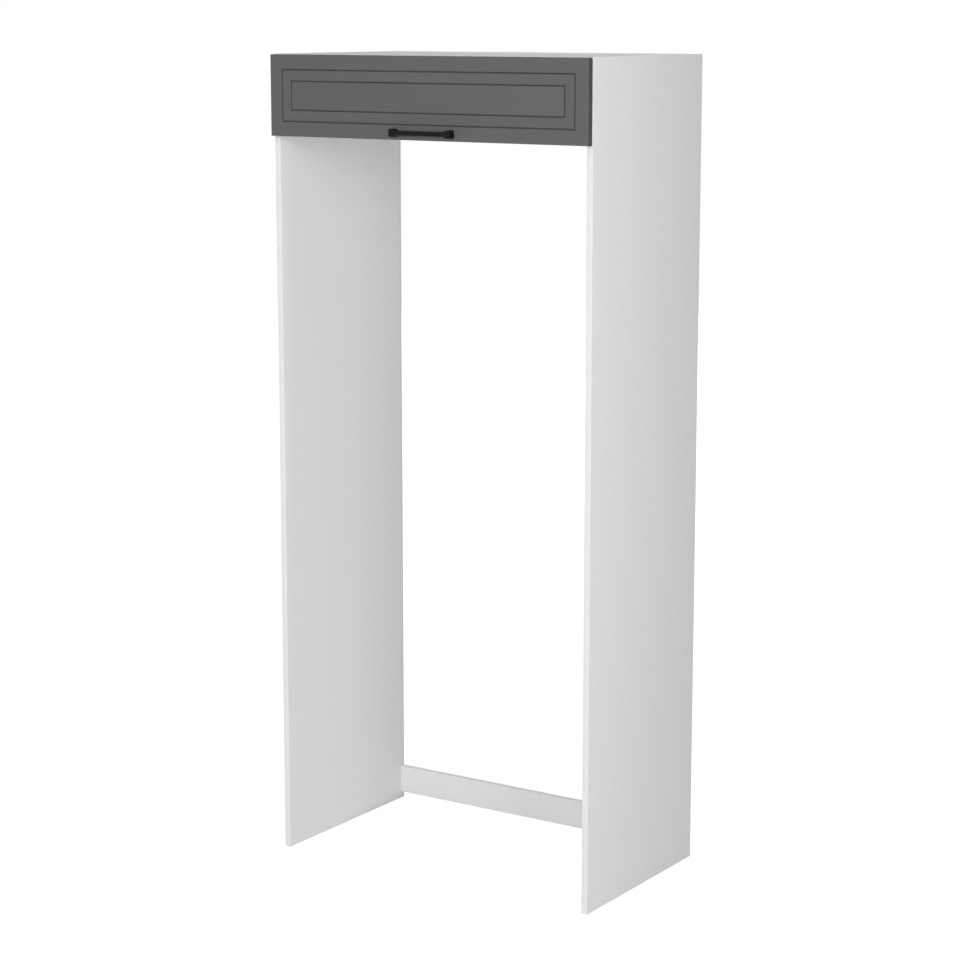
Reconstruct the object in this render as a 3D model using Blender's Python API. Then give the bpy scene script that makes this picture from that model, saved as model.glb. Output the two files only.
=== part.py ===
"""Fridge housing unit: two tall sides, a low top compartment with a lift-up flap, and a rear rail."""
import math

import bmesh
import bpy
from mathutils import Matrix, Vector

MM = 0.001
RIGHT_ANGLE = math.pi / 2

# Carcass
housing_height = 2000 * MM
housing_width = 900 * MM
housing_depth = 504 * MM
board = 16 * MM
rail_height = 72 * MM
rail_floor_gap = 18 * MM
seat_gap = 0.3 * MM
cut_overrun = 5 * MM

# Back panel and its grooves
back_panel_thickness = 3 * MM
back_panel_inset = 12 * MM
groove_depth = 8 * MM

# Flap with its two milled frames
flap_height = 195 * MM
flap_thickness = 16 * MM
flap_gap = 1.5 * MM
flap_reveal = 2 * MM
flap_top_reveal = 1.5 * MM
flap_overhang = 0.5 * MM
flap_edge_radius = 1.5 * MM
frame_insets = (36 * MM, 63 * MM)
frame_groove_width = 3 * MM
frame_groove_floor = 1.2 * MM
frame_groove_depth = 1.5 * MM
pivot_from_flap_back = 8.5 * MM
pivot_from_flap_top = 4 * MM
bumper_radius = 4 * MM
bumper_thickness = 0.9 * MM
bumper_edge_inset = 8 * MM

# Handle
handle_centres = 160 * MM
handle_projection = 20 * MM
handle_rise = 17 * MM
post_width = 13 * MM
post_height = 19 * MM
post_edge_radius = 1.2 * MM
grip_height = 11 * MM
grip_depth = 7 * MM
grip_end_height = 15 * MM
grip_end_set_back = 1 * MM
grip_taper_length = 14 * MM
grip_corner = 1.5 * MM
handle_screw_radius = 2 * MM
handle_screw_grip = 9 * MM
screw_head_radius = 4.2 * MM
screw_head_height = 2.2 * MM
counterbore_clearance = 0.5 * MM

# Concealed hinges
hinge_end_distance = 120 * MM
cup_radius = 17.5 * MM
cup_depth = 12 * MM
cup_wall = 1 * MM
cup_edge_distance = 4 * MM
cup_flange_width = 52 * MM
cup_flange_height = 34 * MM
cup_flange_rise = 1 * MM
lever_pivot_back = 2.5 * MM
lever_pivot_drop = 16 * MM
lever_reach = 17 * MM
lever_rise = 19.8 * MM
lever_bend_share = 0.65
lever_bend = 3.5 * MM
lever_closed_turn = math.radians(12)
lever_width = 7 * MM
lever_thickness = 2.4 * MM
lever_eye_radius = 2.7 * MM
lever_pin_radius = 1.4 * MM
arm_width = 14 * MM
arm_wall = 1.2 * MM
arm_length = 58 * MM
arm_front_clearance = 0.8 * MM
arm_web_drop = 20 * MM
plate_thickness = 2 * MM
plate_width = 44 * MM
plate_length = 30 * MM
plate_front = 20 * MM
rail_width = 10 * MM
rail_length = 36 * MM
rail_drop = 9 * MM

# Gas struts
strut_side_distance = 12 * MM
strut_base_back = 170 * MM
strut_base_drop = 19 * MM
strut_stud_back = 12 * MM
strut_stud_drop = 56 * MM
strut_tube_radius = 7 * MM
strut_tube_wall = 1.2 * MM
strut_tube_start = 9 * MM
strut_tube_length = 110 * MM
strut_end_wall = 3 * MM
strut_rod_radius = 3 * MM
strut_piston_length = 8 * MM
strut_piston_start = 20 * MM
strut_eye_radius = 5 * MM
strut_eye_width = 10 * MM
strut_pin_radius = 2.5 * MM
running_gap = 0.4 * MM
bracket_thickness = 2 * MM
wall_bracket_length = 40 * MM
wall_bracket_height = 24 * MM
flap_bracket_width = 20 * MM
flap_bracket_height = 30 * MM
bracket_upright = 3 * MM

# Cam fittings and dowels
cam_radius = 7.3 * MM
cam_hole_depth = 12.5 * MM
cam_slot_width = 1.4 * MM
cam_slot_length = 9 * MM
cam_slot_depth = 1.6 * MM
bolt_reach = 34 * MM
bolt_shank_radius = 3 * MM
bolt_neck_radius = 2 * MM
bolt_head_length = 2.5 * MM
bolt_neck_length = 4 * MM
bolt_thread_radius = 2.7 * MM
bolt_thread_length = 11 * MM
dowel_radius = 4 * MM
dowel_length = 30 * MM
dowel_in_side = 11 * MM
front_fitting_inset = 50 * MM
back_fitting_inset = 64 * MM
rail_bolt_rise = 20 * MM
rail_dowel_drop = 20 * MM

# Wall brackets under the compartment
tip_bracket_end_distance = 150 * MM
tip_bracket_width = 20 * MM
tip_bracket_leg = 28 * MM
tip_bracket_hole_radius = 2.75 * MM

# Places that follow from the sizes
overall_depth = housing_depth + flap_gap + flap_thickness + handle_projection
front = handle_projection + flap_thickness + flap_gap - overall_depth / 2
back = front + housing_depth
middle_depth = (front + back) / 2
half_width = housing_width / 2
inner_half = half_width - board
compartment_height = flap_top_reveal + flap_height - flap_overhang
compartment_floor = housing_height - compartment_height
ceiling = housing_height - board
flap_back = front - flap_gap
flap_front_face = flap_back - flap_thickness
flap_top = housing_height - flap_top_reveal
flap_bottom = flap_top - flap_height
flap_width = housing_width - 2 * flap_reveal
flap_middle_y = flap_back - flap_thickness / 2
flap_middle_z = flap_top - flap_height / 2
pivot_y = flap_back - pivot_from_flap_back
pivot_z = flap_top - pivot_from_flap_top
handle_z = flap_bottom + handle_rise
cup_z = flap_top - cup_edge_distance - cup_radius
hinge_x = half_width - hinge_end_distance
tip_bracket_x = half_width - tip_bracket_end_distance
strut_x = inner_half - strut_side_distance
strut_base_y = front + strut_base_back
strut_base_z = ceiling - strut_base_drop
strut_stud_y = flap_back + strut_stud_back
strut_stud_z = flap_top - strut_stud_drop
strut_closed_length = math.hypot(strut_base_y - strut_stud_y, strut_base_z - strut_stud_z)
strut_closed_angle = math.atan2(strut_base_z - strut_stud_z, strut_base_y - strut_stud_y)
back_panel_y = back - back_panel_inset - back_panel_thickness / 2

FINE = 24
PLAIN = 16
SMALL = 12
ALONG = {
    "X": Matrix.Rotation(RIGHT_ANGLE, 3, "Y"),
    "Y": Matrix.Rotation(-RIGHT_ANGLE, 3, "X"),
    "Z": Matrix.Identity(3),
}
SIDES = (("left", -1), ("right", 1))


def clear_objects():
    """Removes whatever the scene holds."""
    for old in list(bpy.data.objects):
        bpy.data.objects.remove(old)


def finish(name, colour, roughness, metallic=0.0):
    """A Principled material."""
    material = bpy.data.materials.new(name)
    material.use_nodes = True
    shader = material.node_tree.nodes["Principled BSDF"]
    shader.inputs["Base Color"].default_value = (*colour, 1.0)
    shader.inputs["Roughness"].default_value = roughness
    shader.inputs["Metallic"].default_value = metallic
    return material


def place_object(name, shape, place, material=None, parent=None):
    """A named object from a bmesh, at a place in its parent's frame."""
    bmesh.ops.recalc_face_normals(shape, faces=shape.faces)
    mesh = bpy.data.meshes.new(name)
    shape.to_mesh(mesh)
    shape.free()
    mesh.shade_smooth()
    mesh.set_sharp_from_angle(angle=math.radians(35))
    piece = bpy.data.objects.new(name, mesh)
    bpy.context.scene.collection.objects.link(piece)
    piece.location = place
    piece.parent = parent
    if material:
        mesh.materials.append(material)
    return piece


def pivot_empty(name, place, turn=0.0):
    """An empty on a joint's axis, turned about X."""
    empty = bpy.data.objects.new(name, None)
    bpy.context.scene.collection.objects.link(empty)
    empty.location = place
    empty.rotation_euler.x = turn
    return empty


def slab(size, rounding=0.0, segments=2):
    """A box centred on its own origin, with its edges rounded if asked."""
    shape = bmesh.new()
    bmesh.ops.create_cube(shape, size=1.0)
    bmesh.ops.scale(shape, vec=size, verts=shape.verts)
    if rounding:
        bmesh.ops.bevel(
            shape, geom=shape.edges[:], offset=rounding, segments=segments, affect="EDGES", profile=0.5,
        )
    return shape


def span(low, high):
    """A box between two corners, and its middle."""
    low = Vector(low)
    high = Vector(high)
    return slab(high - low), (low + high) / 2


def bar(radius, length, axis, segments=PLAIN):
    """A round bar centred on its own origin."""
    shape = bmesh.new()
    bmesh.ops.create_cone(
        shape, segments=segments, radius1=radius, radius2=radius, depth=length, cap_ends=True,
    )
    bmesh.ops.rotate(shape, matrix=ALONG[axis], verts=shape.verts)
    return shape


def turned(profile, axis, segments=PLAIN):
    """A turned piece from (radius, height) points, which start and end on the axis."""
    shape = bmesh.new()
    rings = []
    for radius, height in profile:
        if radius == 0:
            rings.append([shape.verts.new((0, 0, height))] * segments)
            continue
        angles = [2 * math.pi * step / segments for step in range(segments)]
        rings.append([shape.verts.new((radius * math.cos(a), radius * math.sin(a), height)) for a in angles])
    for lower, upper in zip(rings, rings[1:]):
        for step in range(segments):
            following = (step + 1) % segments
            corners = [lower[step], lower[following], upper[following], upper[step]]
            corners = list(dict.fromkeys(corners))
            if len(corners) > 2:
                shape.faces.new(corners)
    bmesh.ops.rotate(shape, matrix=ALONG[axis], verts=shape.verts)
    return shape


def join_rings(shape, first, second):
    """A band of faces between two rings of as many corners."""
    for step in range(len(first)):
        following = (step + 1) % len(first)
        shape.faces.new((first[step], first[following], second[following], second[step]))


def prism(outline, width):
    """An outline of (y, z) points carried along X, centred on x = 0."""
    shape = bmesh.new()
    near = [shape.verts.new((-width / 2, y, z)) for y, z in outline]
    far = [shape.verts.new((width / 2, y, z)) for y, z in outline]
    shape.faces.new(near)
    shape.faces.new(far)
    join_rings(shape, near, far)
    return shape


def helper(name, shape, place, parent=None):
    """A tool for a Boolean, left out of the render."""
    tool = place_object(name, shape, place, parent=parent)
    tool.hide_render = True
    tool.display_type = "WIRE"
    return tool


def apply_tools(piece, operation, tools):
    """One Boolean for each tool."""
    for tool in tools:
        modifier = piece.modifiers.new(tool.name, "BOOLEAN")
        modifier.operation = operation
        modifier.solver = "EXACT"
        modifier.object = tool


def cut(piece, *tools):
    apply_tools(piece, "DIFFERENCE", tools)


def weld(piece, *tools):
    apply_tools(piece, "UNION", tools)


def make_finishes():
    """The finishes, with the colours that the pieces show."""
    return {
        "board": finish("white_laminate", (0.80, 0.80, 0.80), 0.45),
        "hardboard": finish("white_hardboard", (0.74, 0.74, 0.73), 0.6),
        "flap": finish("grey_foil", (0.133, 0.133, 0.138), 0.5),
        "handle": finish("black_handle", (0.012, 0.012, 0.013), 0.45, 0.2),
        "steel": finish("nickel_steel", (0.62, 0.61, 0.59), 0.3, 1.0),
        "tube": finish("grey_tube", (0.28, 0.28, 0.29), 0.35, 0.6),
        "zinc": finish("zinc_casting", (0.55, 0.55, 0.56), 0.4, 1.0),
        "dowel": finish("beech_dowel", (0.55, 0.38, 0.22), 0.7),
        "bumper": finish("clear_bumper", (0.75, 0.77, 0.78), 0.3),
    }


def make_boards(finishes):
    """The two sides, the compartment's top and floor, and the rear rail."""
    boards = {}
    fit_half = inner_half - seat_gap
    white = finishes["board"]
    for side, sign in SIDES:
        shape = slab((board, housing_depth, housing_height))
        place = (sign * (inner_half + board / 2), middle_depth, housing_height / 2)
        boards[side] = place_object("side_" + side, shape, place, white)
    for name, low in (("compartment_top", ceiling), ("compartment_floor", compartment_floor)):
        shape = slab((2 * fit_half, housing_depth, board))
        boards[name] = place_object(name, shape, (0, middle_depth, low + board / 2), white)
    shape = slab((2 * fit_half, board, rail_height))
    place = (0, back - board / 2, rail_floor_gap + rail_height / 2)
    boards["rear_rail"] = place_object("rear_rail", shape, place, white)
    return boards


def make_back_panel(finishes, boards):
    """The thin back panel, let into a groove all round."""
    low_edge = compartment_floor + board - groove_depth
    high_edge = ceiling + groove_depth
    reach = inner_half + groove_depth
    size = (2 * reach, back_panel_thickness, high_edge - low_edge)
    panel_place = (0, back_panel_y, (low_edge + high_edge) / 2)
    place_object("back_panel", slab(size), panel_place, finishes["hardboard"])
    near = back_panel_y - back_panel_thickness / 2 - seat_gap
    far = back_panel_y + back_panel_thickness / 2 + seat_gap
    for side, sign in SIDES:
        edges = sorted((sign * (inner_half - cut_overrun), sign * (reach + seat_gap)))
        shape, place = span((edges[0], near, low_edge - seat_gap), (edges[1], far, high_edge + seat_gap))
        cut(boards[side], helper("groove_tool_" + side, shape, place))
    full = inner_half + cut_overrun
    shape, place = span((-full, near, ceiling - cut_overrun), (full, far, high_edge + seat_gap))
    cut(boards["compartment_top"], helper("groove_tool_top", shape, place))
    floor_top = compartment_floor + board
    shape, place = span((-full, near, low_edge - seat_gap), (full, far, floor_top + cut_overrun))
    cut(boards["compartment_floor"], helper("groove_tool_floor", shape, place))


def bolt_profile():
    """The cam bolt from its head, at the cam's middle, to its threaded end in the side."""
    end = bolt_reach + bolt_thread_length
    neck_end = bolt_head_length + bolt_neck_length
    return [
        (0, 0),
        (bolt_shank_radius, 0),
        (bolt_shank_radius, bolt_head_length),
        (bolt_neck_radius, bolt_head_length),
        (bolt_neck_radius, neck_end),
        (bolt_shank_radius, neck_end),
        (bolt_shank_radius, bolt_reach),
        (bolt_thread_radius, bolt_reach),
        (bolt_thread_radius, end),
        (0, end),
    ]


def cam_joint(label, shelf, side_piece, sign, y, z, axis, finishes):
    """One cam, its bolt and their holes, with the cam's mouth below the board or behind it."""
    mouth = Vector((0, 0, -1)) if axis == "Z" else Vector((0, 1, 0))
    cam_x = sign * (inner_half - bolt_reach)
    centre = Vector((cam_x, y, z))
    hole_length = cam_hole_depth + cut_overrun
    hole_middle = centre + mouth * (board / 2 + cut_overrun - hole_length / 2)
    hole_shape = bar(cam_radius + seat_gap, hole_length, axis, PLAIN)
    hole = helper("cam_hole_" + label, hole_shape, hole_middle)
    bore_radius = bolt_shank_radius + running_gap
    bore_length = bolt_reach + cut_overrun
    bore_middle = centre + Vector((sign * bore_length / 2, 0, 0))
    bore = helper("bolt_bore_" + label, bar(bore_radius, bore_length, "X", SMALL), bore_middle)
    cut(shelf, hole, bore)
    thread_length = bolt_thread_length + seat_gap + cut_overrun
    thread_middle = (sign * (inner_half - cut_overrun + thread_length / 2), y, z)
    thread_shape = bar(bolt_thread_radius + seat_gap, thread_length, "X", SMALL)
    cut(side_piece, helper("bolt_hole_" + label, thread_shape, thread_middle))
    cam_height = cam_hole_depth - seat_gap
    cam_middle = centre + mouth * (board / 2 - cam_height / 2)
    cam = place_object("cam_" + label, bar(cam_radius, cam_height, axis, PLAIN), cam_middle, finishes["zinc"])
    seat_start = bolt_head_length
    seat_length = cam_radius + cut_overrun + seat_start
    seat_middle = centre + Vector((sign * (seat_length / 2 - seat_start), 0, 0))
    seat = helper("cam_seat_" + label, bar(bore_radius, seat_length, "X", SMALL), seat_middle)
    slot_length = cam_slot_depth + cut_overrun
    slot_size = (cam_slot_length, cam_slot_width, slot_length)
    if axis == "Y":
        slot_size = (cam_slot_length, slot_length, cam_slot_width)
    slot_middle = centre + mouth * (board / 2 + cut_overrun - slot_length / 2)
    cut(cam, seat, helper("cam_slot_" + label, slab(slot_size), slot_middle))
    bolt = place_object("cam_bolt_" + label, turned(bolt_profile(), "X", SMALL), centre, finishes["steel"])
    bolt.rotation_euler.z = 0 if sign > 0 else math.pi


def dowel_joint(label, shelf, side_piece, sign, y, z, finishes):
    """One wooden dowel between a board's end and the side."""
    outer = inner_half + dowel_in_side
    middle = (sign * (outer - dowel_length / 2), y, z)
    place_object("dowel_" + label, bar(dowel_radius, dowel_length, "X", SMALL), middle, finishes["dowel"])
    hole_radius = dowel_radius + seat_gap
    side_length = dowel_in_side + seat_gap + cut_overrun
    side_middle = (sign * (outer + seat_gap - side_length / 2), y, z)
    cut(side_piece, helper("dowel_side_" + label, bar(hole_radius, side_length, "X", SMALL), side_middle))
    end_length = dowel_length - dowel_in_side + seat_gap + cut_overrun
    end_middle = (sign * (inner_half + cut_overrun - end_length / 2), y, z)
    cut(shelf, helper("dowel_end_" + label, bar(hole_radius, end_length, "X", SMALL), end_middle))


def make_board_joints(finishes, boards):
    """Cams, bolts and dowels at both ends of each board."""
    stations = (("front", front + front_fitting_inset), ("back", back - back_fitting_inset))
    for side, sign in SIDES:
        for shelf, low in (("compartment_top", ceiling), ("compartment_floor", compartment_floor)):
            word = shelf.split("_")[1]
            z = low + board / 2
            for station, y in stations:
                label = f"{word}_{side}_{station}"
                cam_joint(label, boards[shelf], boards[side], sign, y, z, "Z", finishes)
            dowel_joint(f"{word}_{side}", boards[shelf], boards[side], sign, middle_depth, z, finishes)
        rail_middle = rail_floor_gap + rail_height / 2
        y = back - board / 2
        rail = boards["rear_rail"]
        cam_joint(f"rail_{side}", rail, boards[side], sign, y, rail_middle + rail_bolt_rise, "Y", finishes)
        dowel_joint(f"rail_{side}", rail, boards[side], sign, y, rail_middle - rail_dowel_drop, finishes)


def from_pivot(x, y, z):
    """A place in the flap pivot's frame."""
    return Vector((x, y - pivot_y, z - pivot_z))


def frame_groove_tool(number, inset, pivot):
    """A milled frame: a ring with sloping walls, carried a little past the flap's face."""
    half_x = flap_width / 2 - inset
    half_z = flap_height / 2 - inset
    slope = (frame_groove_width - frame_groove_floor) / 2
    above = slope * cut_overrun / frame_groove_depth
    levels = (
        (frame_groove_depth, frame_groove_floor / 2),
        (-cut_overrun, frame_groove_width / 2 + above),
    )
    shape = bmesh.new()
    loops = []
    for depth, half_groove in levels:
        for grow in (half_groove, -half_groove):
            corners = ((-1, -1), (1, -1), (1, 1), (-1, 1))
            loops.append([
                shape.verts.new((sx * (half_x + grow), depth, sz * (half_z + grow))) for sx, sz in corners
            ])
    floor_outer, floor_inner, top_outer, top_inner = loops
    join_rings(shape, floor_outer, top_outer)
    join_rings(shape, top_outer, top_inner)
    join_rings(shape, top_inner, floor_inner)
    join_rings(shape, floor_inner, floor_outer)
    place = from_pivot(0, flap_front_face, flap_middle_z)
    return helper(f"frame_tool_{number}", shape, place, pivot)


def make_flap(finishes, pivot):
    """The flap, with its front edges rounded, two milled frames and the holes behind."""
    shape = slab((flap_width, flap_thickness, flap_height))
    front_edges = [
        edge for edge in shape.edges if all(vert.co.y < 0 for vert in edge.verts)
    ]
    bmesh.ops.bevel(
        shape, geom=front_edges, offset=flap_edge_radius, segments=3, affect="EDGES", profile=0.5,
    )
    flap = place_object("flap", shape, from_pivot(0, flap_middle_y, flap_middle_z), finishes["flap"], pivot)
    for number, inset in enumerate(frame_insets):
        cut(flap, frame_groove_tool(number, inset, pivot))
    hole_depth = cup_depth + seat_gap + cut_overrun
    bore_depth = screw_head_height + seat_gap + cut_overrun
    for side, sign in SIDES:
        x = sign * hinge_x
        y = flap_back + cut_overrun - hole_depth / 2
        shape = bar(cup_radius + seat_gap, hole_depth, "Y", FINE)
        cut(flap, helper("cup_hole_" + side, shape, from_pivot(x, y, cup_z), pivot))
        x = sign * handle_centres / 2
        shape = bar(handle_screw_radius + seat_gap, flap_thickness + 2 * cut_overrun, "Y", SMALL)
        cut(flap, helper("screw_hole_" + side, shape, from_pivot(x, flap_middle_y, handle_z), pivot))
        y = flap_back + cut_overrun - bore_depth / 2
        shape = bar(screw_head_radius + counterbore_clearance, bore_depth, "Y", PLAIN)
        cut(flap, helper("screw_head_hole_" + side, shape, from_pivot(x, y, handle_z), pivot))
    return flap


def grip_ring(shape, x, height, y_front, y_back):
    """One eight-cornered section of the grip."""
    half = height / 2
    points = (
        (y_front, half - grip_corner),
        (y_front + grip_corner, half),
        (y_back - grip_corner, half),
        (y_back, half - grip_corner),
        (y_back, grip_corner - half),
        (y_back - grip_corner, -half),
        (y_front + grip_corner, -half),
        (y_front, grip_corner - half),
    )
    return [shape.verts.new((x, y, z)) for y, z in points]


def make_grip_shape():
    """The grip between the posts, which thickens towards both of them."""
    shape = bmesh.new()
    end_x = handle_centres / 2
    slim_x = end_x - post_width / 2 - grip_taper_length
    outer = (seat_gap - handle_projection) / 2
    inner = outer + grip_depth
    stations = (
        (-end_x, grip_end_height, outer + grip_end_set_back, inner + grip_end_set_back),
        (-slim_x, grip_height, outer, inner),
        (slim_x, grip_height, outer, inner),
        (end_x, grip_end_height, outer + grip_end_set_back, inner + grip_end_set_back),
    )
    rings = [grip_ring(shape, *station) for station in stations]
    shape.faces.new(rings[0])
    shape.faces.new(rings[-1])
    for first, second in zip(rings, rings[1:]):
        join_rings(shape, first, second)
    return shape


def make_handle(finishes, pivot):
    """The handle casting and its two screws, put in from behind the flap."""
    middle_y = flap_front_face - seat_gap - (handle_projection - seat_gap) / 2
    place = from_pivot(0, middle_y, handle_z)
    handle = place_object("handle", make_grip_shape(), place, finishes["handle"], pivot)
    post_depth = handle_projection - seat_gap
    screw_end = flap_front_face - seat_gap - handle_screw_grip
    hole_end = screw_end - seat_gap
    hole_start = flap_front_face + cut_overrun
    for side, sign in SIDES:
        x = sign * handle_centres / 2
        post = slab((post_width, post_depth, post_height), post_edge_radius)
        weld(handle, helper("post_" + side, post, from_pivot(x, middle_y, handle_z), pivot))
    for side, sign in SIDES:
        x = sign * handle_centres / 2
        shape = bar(handle_screw_radius + seat_gap, hole_start - hole_end, "Y", SMALL)
        hole_place = from_pivot(x, (hole_start + hole_end) / 2, handle_z)
        cut(handle, helper("post_hole_" + side, shape, hole_place, pivot))
        head_top = flap_back
        shank_start = head_top - screw_head_height
        profile = [
            (0, screw_end),
            (handle_screw_radius, screw_end),
            (handle_screw_radius, shank_start),
            (screw_head_radius, shank_start),
            (screw_head_radius, head_top),
            (0, head_top),
        ]
        profile = [(radius, height - head_top) for radius, height in profile]
        place = from_pivot(x, head_top, handle_z)
        place_object("handle_screw_" + side, turned(profile, "Y", SMALL), place, finishes["steel"], pivot)


def make_bumpers(finishes, pivot):
    """Two soft discs behind the flap's lower corners."""
    for side, sign in SIDES:
        x = sign * (flap_width / 2 - bumper_edge_inset)
        y = flap_back + seat_gap + bumper_thickness / 2
        shape = bar(bumper_radius, bumper_thickness, "Y", SMALL)
        place = from_pivot(x, y, flap_bottom + bumper_edge_inset)
        place_object("flap_bumper_" + side, shape, place, finishes["bumper"], pivot)


def make_hinge_cup(side, x, finishes, pivot):
    """The cup in the flap, with a flange that lies on the flap's back."""
    inner_radius = cup_radius - cup_wall
    profile = [
        (0, -cup_depth),
        (cup_radius, -cup_depth),
        (cup_radius, cup_flange_rise),
        (inner_radius, cup_flange_rise),
        (inner_radius, cup_wall - cup_depth),
        (0, cup_wall - cup_depth),
    ]
    place = from_pivot(x, flap_back, cup_z)
    cup = place_object("hinge_cup_" + side, turned(profile, "Y", FINE), place, finishes["steel"], pivot)
    flange = slab((cup_flange_width, cup_flange_rise - seat_gap, cup_flange_height))
    flange_y = flap_back + (seat_gap + cup_flange_rise) / 2
    flange_piece = helper("flange_" + side, flange, from_pivot(x, flange_y, cup_z), pivot)
    mouth_shape = bar(inner_radius, 2 * cut_overrun, "Y", FINE)
    mouth_place = from_pivot(x, flap_back + cut_overrun / 2, cup_z)
    weld(cup, flange_piece)
    cut(cup, helper("cup_mouth_" + side, mouth_shape, mouth_place, pivot))


def lever_points():
    """The middle line of the bent lever as it lies with the flap shut, from its pivot to its tip."""
    tip = Vector((-lever_reach, lever_rise))
    across = Vector((tip.y, -tip.x)).normalized()
    knee = tip * lever_bend_share - across * lever_bend
    shut = Matrix.Rotation(-lever_closed_turn, 2)
    return [shut @ point for point in (Vector((0, 0)), knee, tip)]


def arc(centre, radius, start, end, steps):
    """Points along an arc in the (y, z) plane."""
    angles = [start + (end - start) * step / steps for step in range(steps + 1)]
    return [(centre.x + radius * math.cos(a), centre.y + radius * math.sin(a)) for a in angles]


def lever_outline():
    """The lever's outline: a round eye, a knee and a round tip."""
    start, knee, tip = lever_points()
    half = lever_thickness / 2
    along_low = (knee - start).normalized()
    along_high = (tip - knee).normalized()
    left_low = Vector((-along_low.y, along_low.x))
    left_high = Vector((-along_high.y, along_high.x))
    mitre = (left_low + left_high).normalized()
    mitre = mitre * half / mitre.dot(left_low)
    spread = math.asin(half / lever_eye_radius)
    low_angle = math.atan2(along_low.y, along_low.x)
    high_angle = math.atan2(along_high.y, along_high.x)
    outline = arc(start, lever_eye_radius, low_angle + spread, low_angle + 2 * math.pi - spread, PLAIN)
    outline.append(tuple(knee - mitre))
    outline += arc(tip, half, high_angle - RIGHT_ANGLE, high_angle + RIGHT_ANGLE, SMALL // 2)
    outline.append(tuple(knee + mitre))
    return outline


def make_hinge_lever(side, x, finishes):
    """The lever that leaves the arm and reaches into the cup."""
    place = (x, front + lever_pivot_back, ceiling - lever_pivot_drop)
    shape = prism(lever_outline(), lever_width)
    lever = place_object("hinge_lever_" + side, shape, place, finishes["steel"])
    hole = bar(lever_pin_radius + seat_gap, lever_width + 2 * cut_overrun, "X", SMALL)
    cut(lever, helper("lever_hole_" + side, hole, place))


def make_hinge_arm(side, x, finishes):
    """The channel-shaped arm, open upwards, with the lever's pin through its cheeks."""
    plate_under = ceiling - seat_gap - plate_thickness
    arm_top = plate_under - seat_gap
    arm_bottom = ceiling - arm_web_drop
    near = front + arm_front_clearance
    far = near + arm_length
    shape, place = span((x - arm_width / 2, near, arm_bottom), (x + arm_width / 2, far, arm_top))
    arm = place_object("hinge_arm_" + side, shape, place, finishes["steel"])
    inside = arm_width / 2 - arm_wall
    shape, place = span(
        (x - inside, near - cut_overrun, arm_bottom + arm_wall),
        (x + inside, far + cut_overrun, arm_top + cut_overrun),
    )
    cut(arm, helper("arm_channel_" + side, shape, place))
    pin_place = (x, front + lever_pivot_back, ceiling - lever_pivot_drop)
    weld(arm, helper("lever_pin_" + side, bar(lever_pin_radius, arm_width - arm_wall, "X", SMALL), pin_place))


def make_hinge_plate(side, x, finishes):
    """The mounting plate under the compartment's top, with the rail that the arm clips over."""
    top = ceiling - seat_gap
    under = top - plate_thickness
    near = front + plate_front
    far = near + plate_length
    shape, place = span((x - plate_width / 2, near, under), (x + plate_width / 2, far, top))
    plate = place_object("hinge_plate_" + side, shape, place, finishes["steel"])
    middle = (near + far) / 2
    shape, place = span(
        (x - rail_width / 2, middle - rail_length / 2, under - rail_drop),
        (x + rail_width / 2, middle + rail_length / 2, under + plate_thickness / 2),
    )
    weld(plate, helper("plate_rail_" + side, shape, place))


def make_hinges(finishes, pivot):
    """A concealed hinge near each end of the flap."""
    for side, sign in SIDES:
        x = sign * hinge_x
        make_hinge_cup(side, x, finishes, pivot)
        make_hinge_lever(side, x, finishes)
        make_hinge_arm(side, x, finishes)
        make_hinge_plate(side, x, finishes)


def tube_profile():
    """The strut's tube, closed behind, with a narrow collar for the rod in front."""
    start = strut_tube_start
    end = start + strut_tube_length
    bore = strut_tube_radius - strut_tube_wall
    collar = strut_rod_radius + running_gap
    return [
        (0, start),
        (strut_tube_radius, start),
        (strut_tube_radius, end),
        (collar, end),
        (collar, end - strut_end_wall),
        (bore, end - strut_end_wall),
        (bore, start + strut_end_wall),
        (0, start + strut_end_wall),
    ]


def rod_profile():
    """The strut's rod, with its piston inside the tube, up to the socket's middle."""
    start = strut_piston_start
    piston = strut_tube_radius - strut_tube_wall - running_gap
    return [
        (0, start),
        (piston, start),
        (piston, start + strut_piston_length),
        (strut_rod_radius, start + strut_piston_length),
        (strut_rod_radius, strut_closed_length),
        (0, strut_closed_length),
    ]


def facing_forward(profile):
    """The same profile, carried forwards along -Y from the strut's base."""
    return [(radius, -height) for radius, height in profile]


def make_strut(side, sign, finishes):
    """The strut's tube and rod, which swing on the pin at the side."""
    x = sign * strut_x
    base = pivot_empty("strut_pivot_" + side, (x, strut_base_y, strut_base_z), strut_closed_angle)
    zero = (0, 0, 0)
    shape = turned(facing_forward(tube_profile()), "Y", PLAIN)
    tube = place_object("strut_tube_" + side, shape, zero, finishes["tube"], base)
    eye = helper("tube_eye_" + side, bar(strut_eye_radius, strut_eye_width, "X", PLAIN), zero, base)
    neck_end = strut_tube_start + strut_end_wall / 2
    neck_place = (0, -neck_end / 2, 0)
    neck = helper("tube_neck_" + side, bar(strut_rod_radius, neck_end, "Y", SMALL), neck_place, base)
    weld(tube, eye, neck)
    hole = bar(strut_pin_radius + seat_gap, strut_eye_width + 2 * cut_overrun, "X", SMALL)
    cut(tube, helper("tube_eye_hole_" + side, hole, zero, base))
    shape = turned(facing_forward(rod_profile()), "Y", SMALL)
    rod = place_object("strut_rod_" + side, shape, zero, finishes["steel"], base)
    socket_place = (0, -strut_closed_length, 0)
    socket = bar(strut_eye_radius, strut_eye_width, "X", PLAIN)
    weld(rod, helper("rod_socket_" + side, socket, socket_place, base))


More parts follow.
